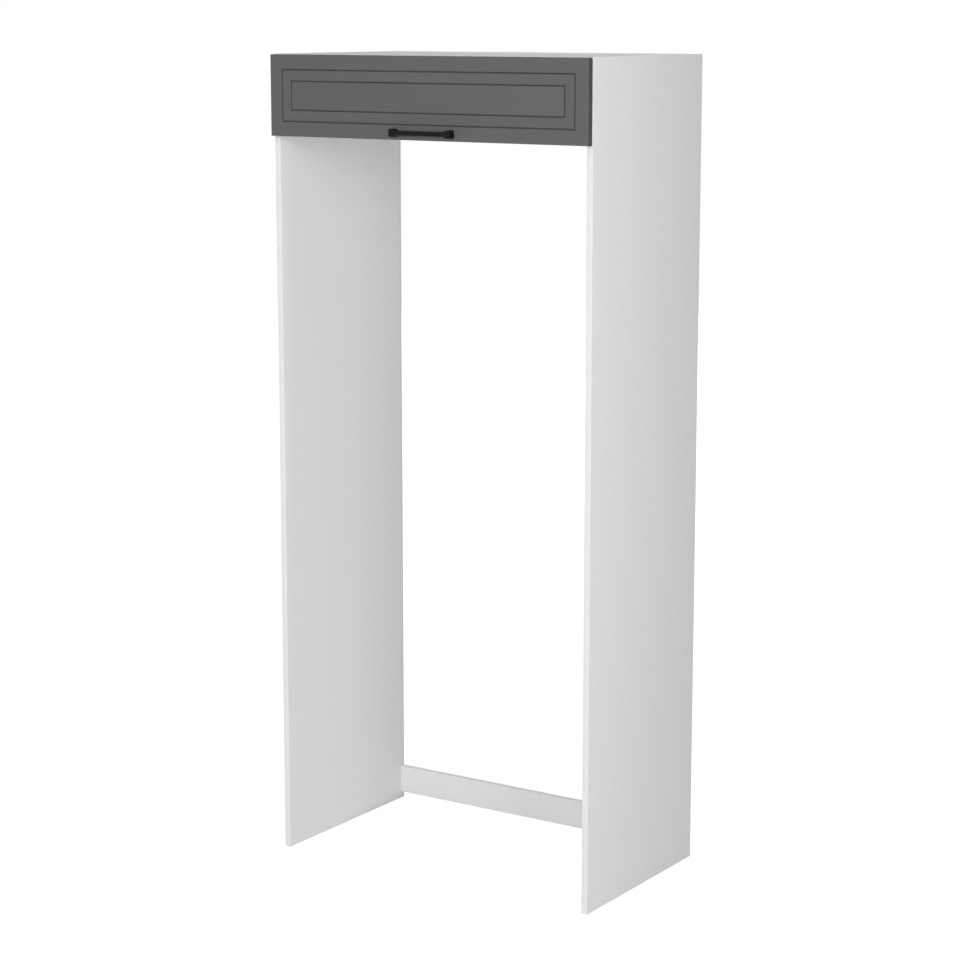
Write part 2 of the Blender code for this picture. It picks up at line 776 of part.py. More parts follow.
def make_wall_bracket(side, sign, finishes):
    """The strut's bracket on the side, with the pin that carries the tube."""
    outer = inner_half - seat_gap
    size = (bracket_thickness, wall_bracket_length, wall_bracket_height)
    place = (sign * (outer - bracket_thickness / 2), strut_base_y, strut_base_z)
    bracket = place_object("strut_bracket_" + side, slab(size), place, finishes["steel"])
    pin_start = outer - bracket_thickness / 2
    pin_end = strut_x - strut_eye_width / 2
    pin_place = (sign * (pin_start + pin_end) / 2, strut_base_y, strut_base_z)
    pin_shape = bar(strut_pin_radius, pin_start - pin_end, "X", SMALL)
    weld(bracket, helper("strut_pin_" + side, pin_shape, pin_place))


def make_flap_bracket(side, sign, finishes, pivot):
    """The bracket on the flap's back, whose stud stops just short of the rod's socket."""
    outer = strut_x - strut_eye_width / 2 - running_gap
    under = flap_back + seat_gap
    plate_size = (flap_bracket_width, bracket_thickness, flap_bracket_height)
    plate_x = sign * (outer - flap_bracket_width / 2)
    place = from_pivot(plate_x, under + bracket_thickness / 2, strut_stud_z)
    bracket = place_object("flap_bracket_" + side, slab(plate_size), place, finishes["steel"], pivot)
    upright_far = strut_stud_y + strut_eye_radius
    upright_near = under + bracket_thickness / 2
    upright_size = (bracket_upright, upright_far - upright_near, 2 * strut_eye_radius)
    upright_x = outer - 2 * strut_pin_radius
    upright_y = (upright_far + upright_near) / 2
    upright_place = from_pivot(sign * upright_x, upright_y, strut_stud_z)
    upright = helper("stud_upright_" + side, slab(upright_size), upright_place, pivot)
    stud_length = outer - upright_x
    stud_place = from_pivot(sign * (outer - stud_length / 2), strut_stud_y, strut_stud_z)
    stud = helper("stud_" + side, bar(strut_pin_radius, stud_length, "X", SMALL), stud_place, pivot)
    weld(bracket, upright, stud)


def make_struts(finishes, pivot):
    """A gas strut at each side of the compartment."""
    for side, sign in SIDES:
        make_strut(side, sign, finishes)
        make_wall_bracket(side, sign, finishes)
        make_flap_bracket(side, sign, finishes, pivot)


def make_tip_brackets(finishes):
    """Two steel angles under the compartment's floor, for the wall screws."""
    top = compartment_floor - seat_gap
    leg = tip_bracket_leg
    thick = bracket_thickness
    outline = ((-leg, 0), (0, 0), (0, -leg), (-thick, -leg), (-thick, -thick), (-leg, -thick))
    for side, sign in SIDES:
        x = sign * tip_bracket_x
        shape = prism(outline, tip_bracket_width)
        angle = place_object("wall_bracket_" + side, shape, (x, back, top), finishes["steel"])
        hole = bar(tip_bracket_hole_radius, 2 * cut_overrun, "Z", SMALL)
        first = helper("bracket_hole_low_" + side, hole, (x, back - leg / 2, top - thick / 2))
        hole = bar(tip_bracket_hole_radius, 2 * cut_overrun, "Y", SMALL)
        second = helper("bracket_hole_back_" + side, hole, (x, back - thick / 2, top - leg / 2))
        cut(angle, first, second)


def make_housing():
    """Every piece of the unit."""
    clear_objects()
    finishes = make_finishes()
    boards = make_boards(finishes)
    make_back_panel(finishes, boards)
    make_board_joints(finishes, boards)
    pivot = pivot_empty("flap_pivot", (0, pivot_y, pivot_z))
    make_flap(finishes, pivot)
    make_handle(finishes, pivot)
    make_bumpers(finishes, pivot)
    make_hinges(finishes, pivot)
    make_struts(finishes, pivot)
    make_tip_brackets(finishes)
    bpy.context.view_layer.update()


make_housing()
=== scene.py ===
"""Looks of the fridge housing unit: edged boards, the framed flap, its handle and the fittings behind it."""
import math

import bmesh
import bpy
from mathutils import Matrix, Vector


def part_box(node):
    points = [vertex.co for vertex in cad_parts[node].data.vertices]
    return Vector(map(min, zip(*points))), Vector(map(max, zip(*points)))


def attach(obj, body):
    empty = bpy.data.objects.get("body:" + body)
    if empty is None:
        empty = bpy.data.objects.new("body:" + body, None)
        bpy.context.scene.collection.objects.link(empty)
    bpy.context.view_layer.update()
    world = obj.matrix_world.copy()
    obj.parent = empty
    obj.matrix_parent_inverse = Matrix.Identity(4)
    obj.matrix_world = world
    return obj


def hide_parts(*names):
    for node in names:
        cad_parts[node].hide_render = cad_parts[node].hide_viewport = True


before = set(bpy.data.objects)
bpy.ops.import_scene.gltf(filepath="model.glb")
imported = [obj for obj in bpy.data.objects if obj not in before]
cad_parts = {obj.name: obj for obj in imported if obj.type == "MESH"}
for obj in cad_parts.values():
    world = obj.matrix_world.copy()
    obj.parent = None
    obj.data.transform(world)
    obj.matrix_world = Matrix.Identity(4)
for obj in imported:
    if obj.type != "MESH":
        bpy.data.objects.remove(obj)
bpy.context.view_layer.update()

MM = 0.001
Y, Z = 1, 2
SIDES = ("left", "right")
BOARDS = ("top", "floor")
STATIONS = ("front", "back")
QUARTER = math.pi / 2

# How far a face's normal reaches along an axis when the face looks that way, squarely or roughly
FLAT = 0.999
SIDEWAYS = 0.9

# How finely shapes are made, and how near a point counts as lying in a plane
touch = 0.05 * MM
sliver = 0.002 * MM
bar_sides = 48
wide_bar_sides = 64
small_bar_sides = 32
thin_bar_sides = 24
corner_steps = 6
bend_steps = 5
rounding_steps = 4
edging_steps = 3
soft_easing_steps = 3
easing_steps = 2
easing_angle = math.radians(35)
smooth_angle = math.radians(30)

# A noise mostly lies between these two values, and a look goes from one end to the other between them
noise_low = 0.3
noise_high = 0.7

# Boards and their edging
edging_thickness = 0.8 * MM
edging_rounding = 0.5 * MM
board_easing = 0.15 * MM
fitting_clearance = 0.3 * MM
bore_clearance = 0.4 * MM
overrun = 5 * MM

# Flap
frame_insets = (36 * MM, 63 * MM)
groove_width = 3 * MM
groove_floor_width = 1.2 * MM
groove_depth = 1.5 * MM
flap_rounding = 1.5 * MM
flap_easing = 0.25 * MM
counterbore_clearance = 0.5 * MM

# Handle
grip_depth = 7 * MM
grip_height = 11 * MM
grip_root_height = 14 * MM
post_width = 13 * MM
flare_length = 14 * MM
grip_rounding = 2.2 * MM
grip_set_back = 1 * MM
post_rounding = 2.3 * MM
flare_steps = 7
handle_screw_head = 2.2 * MM
handle_screw_radius = 2 * MM

# Screws of the fittings
screw_head_radius = 3.1 * MM
screw_head_height = 1.3 * MM
screw_rounding = 0.8 * MM
screw_shank_radius = 1.8 * MM
screw_stub = 0.6 * MM
recess_length = 3.4 * MM
recess_width = 0.9 * MM
recess_depth = 0.9 * MM

# Hinges
cup_radius = 17.5 * MM
cup_wall = 1 * MM
cup_flange_height = 34 * MM
cup_flange_corner = 9 * MM
cup_foot_radius = 1.5 * MM
cup_rim_step = 0.1 * MM
cup_screw_offset = 21.5 * MM
plate_thickness = 2 * MM
plate_length = 30 * MM
plate_corner = 7 * MM
plate_screw_offset = 15.5 * MM
plate_rail_width = 10 * MM
arm_wall = 1.2 * MM
arm_rounding = 1.2 * MM
arm_front_gap = 0.8 * MM
arm_screw_shares = (0.36, 0.74)
lever_pin_radius = 1.4 * MM
lever_pin_back = 2.5 * MM
lever_pin_rise = 4 * MM

# Struts
strut_tube_radius = 7 * MM
strut_bore_radius = 5.8 * MM
strut_tube_start = 9 * MM
strut_tube_length = 110 * MM
strut_end_wall = 3 * MM
strut_shoulder = 1.5 * MM
strut_rod_radius = 3 * MM
strut_piston_radius = 5.4 * MM
strut_piston_start = 20 * MM
strut_piston_length = 8 * MM
socket_radius = 5 * MM
socket_width = 10 * MM
socket_neck_radius = 4.2 * MM
socket_rounding = 1.2 * MM
pin_radius = 2.5 * MM
running_gap = 0.4 * MM
bracket_thickness = 2 * MM
bracket_corner = 4 * MM
bracket_easing = 0.3 * MM
bracket_screw_offset = 13 * MM
upright_thickness = 3 * MM
stud_reach = 5 * MM
flap_bracket_screw_offset = 10 * MM

# Cams, bumpers and wall angles
cam_rim = 0.8 * MM
cam_dish = 0.4 * MM
cam_easing = 0.2 * MM
cam_slot_length = 9 * MM
cam_slot_width = 1.4 * MM
cam_slot_depth = 1.6 * MM
cam_mouth_radius = 3.4 * MM
bumper_dome = 0.5 * MM
angle_bend = 2.6 * MM
angle_corner = 3 * MM
angle_hole_radius = 2.75 * MM

# Camera: fitted to the photo's edge lines, and turned down instead of having its picture shifted up
camera_place = (3.3235, -5.0277, 2.091)
camera_turn = math.radians(33.526)
camera_pitch = math.radians(10.276)
camera_lens = 93.16
camera_shift = -0.015

# Studio: three soft lamps round a white floor
floor_radius = 40
floor_sides = 96
floor_gap = 0.5 * MM
floor_roughness = 0.9
floor_colour = (0.8, 0.8, 0.8, 1)
floor_glow = 3.6
floor_glow_share = 0.2
world_light = 0.45
aim = (0, 0, 1.0)
front_lamp_place = (2.5, -11.8, 3.2)
front_lamp_size = 6.0
front_lamp_power = 565
side_lamp_place = (10.2, -6.5, 3.2)
side_lamp_size = 6.0
side_lamp_power = 405
back_lamp_place = (-4.5, 10.2, 3.2)
back_lamp_size = 5.0
back_lamp_power = 340


def deselect():
    """Object mode, with nothing selected."""
    if bpy.context.object and bpy.context.object.mode == "EDIT":
        bpy.ops.object.mode_set(mode="OBJECT")
    bpy.ops.object.select_all(action="DESELECT")


def make_active(piece):
    """The piece alone selected, for the next step."""
    deselect()
    piece.select_set(True)
    bpy.context.view_layer.objects.active = piece


def settle(piece):
    """The piece's place goes into its mesh."""
    make_active(piece)
    bpy.ops.object.transform_apply(location=True, rotation=True, scale=True)
    return piece


def name_new(name):
    """The shape that was just added gets its name, and its place goes into its mesh."""
    piece = bpy.context.object
    piece.name = name
    piece.data.name = name
    return settle(piece)


def add_block(name, low, high):
    """A block between two corners."""
    low = Vector(low)
    high = Vector(high)
    deselect()
    bpy.ops.mesh.primitive_cube_add(size=1, location=(low + high) / 2, scale=high - low)
    return name_new(name)


def add_bar(name, start, end, radius, sides=bar_sides):
    """A round bar between two points."""
    start = Vector(start)
    end = Vector(end)
    turn = (end - start).to_track_quat("Z", "Y").to_euler()
    deselect()
    bpy.ops.mesh.primitive_cylinder_add(
        vertices=sides, radius=radius, depth=(end - start).length, location=(start + end) / 2, rotation=turn,
    )
    return name_new(name)


def open_shape(piece, kind):
    """Edit mode with nothing selected, and the shape to select from."""
    make_active(piece)
    bpy.ops.object.mode_set(mode="EDIT")
    bpy.ops.mesh.select_mode(type=kind)
    bpy.ops.mesh.select_all(action="DESELECT")
    return bmesh.from_edit_mesh(piece.data)


def pick_faces(piece, test):
    """Selects the faces whose normal and middle pass the test."""
    shape = open_shape(piece, "FACE")
    for face in shape.faces:
        face.select_set(bool(test(face.normal, face.calc_center_median())))
    bmesh.update_edit_mesh(piece.data)


def pick_all(piece):
    """Selects the whole piece."""
    pick_faces(piece, lambda normal, middle: True)


def pick_edges(piece, test):
    """Selects the edges whose two ends pass the test."""
    shape = open_shape(piece, "EDGE")
    for edge in shape.edges:
        edge.select_set(bool(test(edge.verts[0].co, edge.verts[1].co)))
    bmesh.update_edit_mesh(piece.data)


def pick_points(piece, test):
    """Selects the points whose place passes the test."""
    shape = open_shape(piece, "VERT")
    for point in shape.verts:
        point.select_set(bool(test(point.co)))
    shape.select_flush_mode()
    bmesh.update_edit_mesh(piece.data)


def round_edges(piece, test, radius, steps=rounding_steps):
    """Rounds the edges whose two ends pass the test."""
    pick_edges(piece, test)
    bpy.ops.mesh.bevel(offset=radius, segments=steps, affect="EDGES")


def ease_all(piece, width, steps=easing_steps):
    """Takes the sharpness off every edge that turns clearly."""
    make_active(piece)
    easing = piece.modifiers.new("easing", "BEVEL")
    easing.width = width
    easing.segments = steps
    easing.limit_method = "ANGLE"
    easing.angle_limit = easing_angle
    bpy.ops.object.modifier_apply(modifier=easing.name)


def combine(piece, tools, operation):
    """One Boolean for each tool, which is then thrown away."""
    for tool in tools:
        make_active(piece)
        joint = piece.modifiers.new("joint", "BOOLEAN")
        joint.object = tool
        joint.operation = operation
        joint.solver = "EXACT"
        bpy.ops.object.modifier_apply(modifier=joint.name)
        bpy.data.objects.remove(tool)


def cut(piece, *tools):
    """Takes the tools' shapes out of the piece."""
    combine(piece, tools, "DIFFERENCE")


def weld(piece, *tools):
    """Joins more shapes to the piece."""
    combine(piece, tools, "UNION")


def clear_slivers(piece):
    """Joins points that lie on each other and takes out faces without width, which a Boolean can leave."""
    pick_all(piece)
    bpy.ops.mesh.remove_doubles(threshold=sliver)
    bpy.ops.mesh.select_all(action="SELECT")
    bpy.ops.mesh.dissolve_degenerate(threshold=sliver)
    bpy.ops.mesh.select_all(action="SELECT")
    bpy.ops.mesh.delete_loose(use_verts=True, use_edges=True, use_faces=False)
    deselect()


def finish_piece(piece, body, material, nodes=()):
    """A clean mesh, smooth shading, a finish if it has none, what it rides on and what it stands for."""
    clear_slivers(piece)
    make_active(piece)
    bpy.ops.object.shade_smooth_by_angle(angle=smooth_angle)
    if not piece.data.materials:
        piece.data.materials.append(material)
    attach(piece, body)
    if nodes:
        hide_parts(*nodes)


def start_material(name, metallic=0.0, gloss=0.5, clearness=0.0):
    """A new material, its node tree and its shader."""
    material = bpy.data.materials.new(name)
    material.use_nodes = True
    tree = material.node_tree
    shader = tree.nodes["Principled BSDF"]
    shader.inputs["Metallic"].default_value = metallic
    shader.inputs["Specular IOR Level"].default_value = gloss
    shader.inputs["Transmission Weight"].default_value = clearness
    return material, tree, shader


def add_noise(tree, grains_per_metre, detail, stretch=(1, 1, 1)):
    """Noise on the piece's own coordinates."""
    place = tree.nodes.new("ShaderNodeTexCoord")
    mapping = tree.nodes.new("ShaderNodeMapping")
    mapping.inputs["Scale"].default_value = stretch
    noise = tree.nodes.new("ShaderNodeTexNoise")
    noise.inputs["Scale"].default_value = grains_per_metre
    noise.inputs["Detail"].default_value = detail
    tree.links.new(place.outputs["Object"], mapping.inputs["Vector"])
    tree.links.new(mapping.outputs["Vector"], noise.inputs["Vector"])
    return noise.outputs["Fac"]


def colour_between(tree, shader, amount, dark, light):
    """The base colour goes from dark to light with an amount."""
    ramp = tree.nodes.new("ShaderNodeValToRGB")
    ramp.color_ramp.elements[0].position = noise_low
    ramp.color_ramp.elements[1].position = noise_high
    ramp.color_ramp.elements[0].color = (*dark, 1)
    ramp.color_ramp.elements[1].color = (*light, 1)
    tree.links.new(amount, ramp.inputs["Fac"])
    tree.links.new(ramp.outputs["Color"], shader.inputs["Base Color"])


def roughness_between(tree, shader, amount, low, high):
    """The roughness goes from low to high with an amount."""
    spread = tree.nodes.new("ShaderNodeMapRange")
    spread.inputs["From Min"].default_value = noise_low
    spread.inputs["From Max"].default_value = noise_high
    spread.inputs["To Min"].default_value = low
    spread.inputs["To Max"].default_value = high
    tree.links.new(amount, spread.inputs["Value"])
    tree.links.new(spread.outputs["Result"], shader.inputs["Roughness"])


def bump_from(tree, shader, amount, height):
    """The surface rises and falls with an amount, by a height."""
    bump = tree.nodes.new("ShaderNodeBump")
    bump.inputs["Distance"].default_value = height
    tree.links.new(amount, bump.inputs["Height"])
    tree.links.new(bump.outputs["Normal"], shader.inputs["Normal"])


def shade(colour, share):
    """A colour made darker or lighter."""
    return tuple(channel * share for channel in colour)


def make_finish(
    name, colour, shares, colour_grain, roughness, roughness_grain, bump_height, bump_grain,
    metallic=0.0, gloss=0.5, clearness=0.0,
):
    """A finish. Its colour, its roughness and its height each follow a noise of their own.

    The shares are the darkest and the lightest share of the colour. A grain is the noise's grains
    for each metre, its detail and, where it is drawn out, how it is stretched.
    """
    material, tree, shader = start_material(name, metallic, gloss, clearness)
    darkest, lightest = shares
    colour_noise = add_noise(tree, *colour_grain)
    colour_between(tree, shader, colour_noise, shade(colour, darkest), shade(colour, lightest))
    roughness_between(tree, shader, add_noise(tree, *roughness_grain), *roughness)
    bump_from(tree, shader, add_noise(tree, *bump_grain), bump_height)
    return material


def make_grey_foil(name, colour):
    """Matt dark-grey foil with a fine sanded grain."""
    return make_finish(
        name, colour=colour, shares=(0.90, 1.07), colour_grain=(700, 4),
        roughness=(0.46, 0.58), roughness_grain=(14, 3),
        bump_height=0.05 * MM, bump_grain=(1600, 3), gloss=0.22,
    )


finishes = {
    # White melamine with a fine pearl grain
    "laminate": make_finish(
        "white_laminate", colour=(0.80, 0.80, 0.80), shares=(0.985, 1), colour_grain=(60, 4),
        roughness=(0.66, 0.76), roughness_grain=(9, 3),
        bump_height=0.03 * MM, bump_grain=(1400, 3), gloss=0.07,
    ),
    # Plastic edging, a little smoother than the boards
    "edging": make_finish(
        "white_edging", colour=(0.82, 0.82, 0.82), shares=(0.985, 1), colour_grain=(45, 3),
        roughness=(0.60, 0.70), roughness_grain=(30, 3),
        bump_height=0.02 * MM, bump_grain=(500, 2), gloss=0.08,
    ),
    # The thin back panel's lacquered hardboard
    "hardboard": make_finish(
        "white_hardboard_finish", colour=(0.74, 0.74, 0.73), shares=(0.95, 1), colour_grain=(220, 5),
        roughness=(0.55, 0.68), roughness_grain=(40, 3),
        bump_height=0.06 * MM, bump_grain=(900, 4),
    ),
    # The flap's foil, and the same foil made darker on its edges and in the milled lines, which is painted
    # shade
    "foil": make_grey_foil("grey_foil", (0.111, 0.111, 0.116)),
    "foil_painted_shade": make_grey_foil("grey_foil_painted_shade", (0.048, 0.048, 0.051)),
    # The handle's matt black powder coat
    "coat": make_finish(
        "black_coat", colour=(0.0065, 0.0065, 0.0070), shares=(0.85, 1.15), colour_grain=(900, 3),
        roughness=(0.44, 0.58), roughness_grain=(60, 3),
        bump_height=0.04 * MM, bump_grain=(1500, 3), gloss=0.1,
    ),
    # Nickel-plated pressed steel with faint drawn lines
    "steel": make_finish(
        "nickel_plate", colour=(0.48, 0.475, 0.46), shares=(0.9, 1), colour_grain=(300, 3),
        roughness=(0.30, 0.44), roughness_grain=(500, 3, (1, 0.1, 1)),
        bump_height=0.01 * MM, bump_grain=(2000, 2, (1, 0.06, 1)), metallic=1.0,
    ),
    # Bare die-cast zinc, a little grainy
    "zinc": make_finish(
        "bare_zinc", colour=(0.55, 0.55, 0.56), shares=(0.8, 1), colour_grain=(700, 4),
        roughness=(0.36, 0.52), roughness_grain=(400, 3),
        bump_height=0.04 * MM, bump_grain=(1800, 4), metallic=1.0,
    ),
    # The struts' grey lacquer
    "lacquer": make_finish(
        "tube_lacquer", colour=(0.28, 0.28, 0.29), shares=(0.93, 1), colour_grain=(400, 3),
        roughness=(0.30, 0.42), roughness_grain=(120, 3),
        bump_height=0.02 * MM, bump_grain=(1100, 3), metallic=0.2,
    ),
    # The struts' dark nylon sockets
    "nylon": make_finish(
        "dark_nylon", colour=(0.045, 0.045, 0.048), shares=(0.85, 1), colour_grain=(500, 3),
        roughness=(0.44, 0.58), roughness_grain=(200, 3),
        bump_height=0.03 * MM, bump_grain=(1500, 3),
    ),
    # Plain beech, with its grain along the dowels
    "beech": make_finish(
        "beech", colour=(0.55, 0.38, 0.22), shares=(0.7, 1), colour_grain=(900, 5, (0.08, 1, 1)),
        roughness=(0.62, 0.78), roughness_grain=(300, 3),
        bump_height=0.06 * MM, bump_grain=(1200, 4, (0.08, 1, 1)),
    ),
    # Soft clear silicone, slightly milky
    "silicone": make_finish(
        "milky_silicone", colour=(0.75, 0.77, 0.78), shares=(0.95, 1), colour_grain=(500, 2),
        roughness=(0.25, 0.36), roughness_grain=(300, 2),
        bump_height=0.02 * MM, bump_grain=(900, 2), clearness=0.3,
    ),
}


def grown(low, high, amount):
    """Two corners moved apart by an amount on every side."""
    step = Vector((amount, amount, amount))
    return low - step, high + step


def round_hole(node, clearance):
    """A cutter round a dowel or a bolt, which lies from side to side."""
    low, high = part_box(node)
    start = (low + high) / 2
    end = start.copy()
    start.x = low.x - fitting_clearance
    end.x = high.x + fitting_clearance
    return add_bar("hole", start, end, (high.y - low.y) / 2 + clearance)


def cam_hole(node, axis):
    """A cutter for a cam's hole, which runs out past the board's face on the mouth's side."""
    low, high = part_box(node)
    middle = (low + high) / 2
    radius = (high.x - low.x) / 2 + fitting_clearance
    start = middle.copy()
    end = middle.copy()
    if axis == Z:
        start.z = low.z - overrun
        end.z = high.z + fitting_clearance
    else:
        start.y = low.y - fitting_clearance
        end.y = high.y + overrun
    return add_bar("cam_hole", start, end, radius)


def make_edging(name, low, high, axis, sign):
    """A strip of edging on the low side of a board (sign -1) or the high one (1), rounded outside."""
    strip_low = low.copy()
    strip_high = high.copy()
    if sign < 0:
        strip_high[axis] = low[axis] + edging_thickness
    else:
        strip_low[axis] = high[axis] - edging_thickness
    strip = add_block(name, strip_low, strip_high)
    outer = strip_low[axis] if sign < 0 else strip_high[axis]
    round_edges(
        strip, lambda a, b: max(abs(a[axis] - outer), abs(b[axis] - outer)) < touch, edging_rounding,
        edging_steps,
    )
    finish_piece(strip, "root", finishes["edging"])


def make_board(node, name, bands, cutters):
    """A board behind its edging, with its holes and grooves."""
    low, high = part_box(node)
    core_low = low.copy()
    core_high = high.copy()
    for label, axis, sign in bands:
        make_edging(f"{name}_{label}_edging", low, high, axis, sign)
        if sign < 0:
            core_low[axis] += edging_thickness
        else:
            core_high[axis] -= edging_thickness
    board = add_block(name, core_low, core_high)
    ease_all(board, board_easing)
    cut(board, *cutters)
    finish_piece(board, "root", finishes["laminate"], [node])


def panel_groove():
    """A cutter round the back panel."""
    return add_block("groove", *grown(*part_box("back_panel"), fitting_clearance))


def make_boards():
    """The five boards, with holes where the cams, bolts and dowels go."""
    front_band = [("front", Y, -1)]
    for side in SIDES:
        cutters = [panel_groove()]
        for board in BOARDS:
            cutters.append(round_hole(f"dowel_{board}_{side}", fitting_clearance))
            for station in STATIONS:
                cutters.append(round_hole(f"cam_bolt_{board}_{side}_{station}", 0))
        cutters.append(round_hole(f"dowel_rail_{side}", fitting_clearance))
        cutters.append(round_hole(f"cam_bolt_rail_{side}", 0))
        make_board("side_" + side, side + "_side_panel", front_band, cutters)
    for board in BOARDS:
        cutters = [panel_groove()]
        for side in SIDES:
            cutters.append(round_hole(f"dowel_{board}_{side}", fitting_clearance))
            for station in STATIONS:
                label = f"{board}_{side}_{station}"
                cutters.append(cam_hole("cam_" + label, Z))
                cutters.append(round_hole("cam_bolt_" + label, bore_clearance))
        make_board("compartment_" + board, board + "_panel", front_band, cutters)
    cutters = []
    for side in SIDES:
        cutters.append(round_hole(f"dowel_rail_{side}", fitting_clearance))
        cutters.append(cam_hole(f"cam_rail_{side}", Y))
        cutters.append(round_hole(f"cam_bolt_rail_{side}", bore_clearance))
    make_board("rear_rail", "rail_board", [("top", Z, 1), ("bottom", Z, -1)], cutters)


def inwards_of(point, low, high):
    """How far a point of the flap's front lies inside its outline."""
    half_width = (high.x - low.x) / 2
    half_height = (high.z - low.z) / 2
    middle_z = (low.z + high.z) / 2
    return min(half_width - abs(point.x), half_height - abs(point.z - middle_z))


def near_frame(point, low, high, reach):
    """Whether a point lies within reach of the middle of a milled frame's line."""
    return any(abs(inwards_of(point, low, high) - frame_inset) < reach for frame_inset in frame_insets)


def mill_frames(flap, low, high):
    """Two sloping grooves round the front, made by insets and one push inwards."""
    slope = (groove_width - groove_floor_width) / 2
    pick_faces(flap, lambda normal, middle: normal.y < -FLAT)
    reached = flap_rounding
    for frame_inset in frame_insets:
        for thickness in (frame_inset - groove_width / 2 - reached, slope, groove_floor_width, slope):
            bpy.ops.mesh.inset(thickness=thickness)
        reached = frame_inset + groove_width / 2
    reach = groove_floor_width / 2 + touch
    pick_points(flap, lambda point: point.y < low.y + touch and near_frame(point, low, high, reach))
    bpy.ops.transform.translate(value=(0, groove_depth, 0))


def drill_flap(flap, high, middle, floor_y, radius):
    """A round hole from a depth in the flap out through its back."""
    mouth = (middle.x, high.y + overrun, middle.z)
    cut(flap, add_bar("flap_hole", (middle.x, floor_y, middle.z), mouth, radius))


def dress_flap(flap, low, high):
    """The foil, with a darker copy of it on the edges and in the milled lines as painted shade."""
    flap.data.materials.append(finishes["foil"])
    flap.data.materials.append(finishes["foil_painted_shade"])
    reach = groove_width / 2 + flap_easing
    milled_y = low.y + groove_depth + flap_easing
    # Side faces and the faces of the milled lines get the darker copy: painted shade
    pick_faces(
        flap,
        lambda normal, middle: max(abs(normal.x), abs(normal.z)) > SIDEWAYS
        or (middle.y < milled_y and near_frame(middle, low, high, reach)),
    )
    flap.active_material_index = 1
    bpy.ops.object.material_slot_assign()


def make_flap():
    """The flap's front, with its rounded front edges, its milled frames and the holes behind."""
    low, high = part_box("flap")
    flap = add_block("flap_front", low, high)
    round_edges(flap, lambda a, b: max(a.y, b.y) < low.y + touch, flap_rounding)
    mill_frames(flap, low, high)
    ease_all(flap, flap_easing)
    for side in SIDES:
        cup_low, cup_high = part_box("hinge_cup_" + side)
        cup_floor = cup_low.y - fitting_clearance
        drill_flap(flap, high, (cup_low + cup_high) / 2, cup_floor, cup_radius + fitting_clearance)
        screw_low, screw_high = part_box("handle_screw_" + side)
        screw_middle = (screw_low + screw_high) / 2
        head_floor = high.y - handle_screw_head - fitting_clearance
        head_radius = (screw_high.x - screw_low.x) / 2 + counterbore_clearance
        drill_flap(flap, high, screw_middle, head_floor, head_radius)
        drill_flap(flap, high, screw_middle, low.y - overrun, handle_screw_radius + fitting_clearance)
    dress_flap(flap, low, high)
    finish_piece(flap, "flap", finishes["foil"], ["flap"])


def flare_height(outwards):
    """The grip's height at a share of the way along the flare, with a smooth start and end."""
    smooth = outwards * outwards * (3 - 2 * outwards)
    return grip_height + (grip_root_height - grip_height) * smooth


def make_grip(low, high):
    """The slim grip, which grows higher and steps back a little towards both posts."""
    middle_z = (low.z + high.z) / 2
    post_inner = high.x - post_width
    reach = high.x - post_width / 2
    half = grip_height / 2
    grip = add_block("grip", (-reach, low.y, middle_z - half), (reach, low.y + grip_depth, middle_z + half))
    round_edges(grip, lambda a, b: abs(a.x - b.x) > reach, grip_rounding)
    for step in range(flare_steps + 1):
        station = post_inner - flare_length * step / flare_steps
        for x in (-station, station):
            pick_all(grip)
            bpy.ops.mesh.bisect(plane_co=(x, 0, 0), plane_no=(1, 0, 0))
    for step in range(flare_steps):
        outwards = 1 - step / flare_steps
        station = post_inner - flare_length * step / flare_steps
        outermost = reach if step == 0 else station
        pick_points(grip, lambda point: station - touch < abs(point.x) < outermost + touch)
        share = flare_height(outwards) / grip_height
        bpy.ops.transform.resize(value=(1, 1, share), center_override=(0, 0, middle_z))
        bpy.ops.transform.translate(value=(0, grip_set_back * outwards, 0))
    return grip


def make_handle():
    """The handle casting: two rounded posts with the grip between them."""
    low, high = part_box("handle")
    post_inner = high.x - post_width
    casting = make_grip(low, high)
    casting.name = "handle_casting"
    for start, end in ((-high.x, -post_inner), (post_inner, high.x)):
        post = add_block("post", (start, low.y, low.z), (end, high.y, high.z))
        round_edges(post, lambda a, b: min(a.y, b.y) < high.y - touch, post_rounding, bend_steps)
        weld(casting, post)
    finish_piece(casting, "flap", finishes["coat"], ["handle"])


def carry_over(node, material):
    """A CAD piece that stays, with a better finish."""
    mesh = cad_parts[node].data
    mesh.materials.clear()
    mesh.materials.append(material)


def copy_piece(model, name, place, turn):
    """A copy of a model that was made at the origin, turned and set at its place, with its own mesh."""
    make_active(model)
    bpy.ops.object.duplicate()
    piece = bpy.context.object
    piece.name = name
    piece.data.name = name
    piece.matrix_world = Matrix.Translation(place) @ turn.to_4x4()
    return settle(piece)


def facing(direction):
    """The turn that takes +Z to a direction."""
    return Vector(direction).to_track_quat("Z", "Y").to_matrix()


def extrude(step):
    """Draws the selected faces out by a step."""
    bpy.ops.mesh.extrude_region_move(TRANSFORM_OT_translate={"value": tuple(step)})


def cross_recess(length, width, top, depth):
    """Two cutters for a cross recess round the Z axis."""
    tools = []
    for half_x, half_y in ((length / 2, width / 2), (width / 2, length / 2)):
        tools.append(add_block("recess", (-half_x, -half_y, top - depth), (half_x, half_y, top + depth)))
    return tools


def model_screw(head_radius, head_height, shank_radius, shank_length):
    """A screw with a rounded head above the origin, a cross recess and a plain shank below."""
    screw = add_bar("screw_model", (0, 0, 0), (0, 0, head_height), head_radius, small_bar_sides)
    round_edges(screw, lambda a, b: min(a.z, b.z) > head_height - touch, screw_rounding)
    pick_faces(screw, lambda normal, middle: normal.z < -FLAT)
    bpy.ops.mesh.inset(thickness=head_radius - shank_radius)
    extrude((0, 0, -shank_length))
    cut(screw, *cross_recess(recess_length, recess_width, head_height, recess_depth))
    return screw


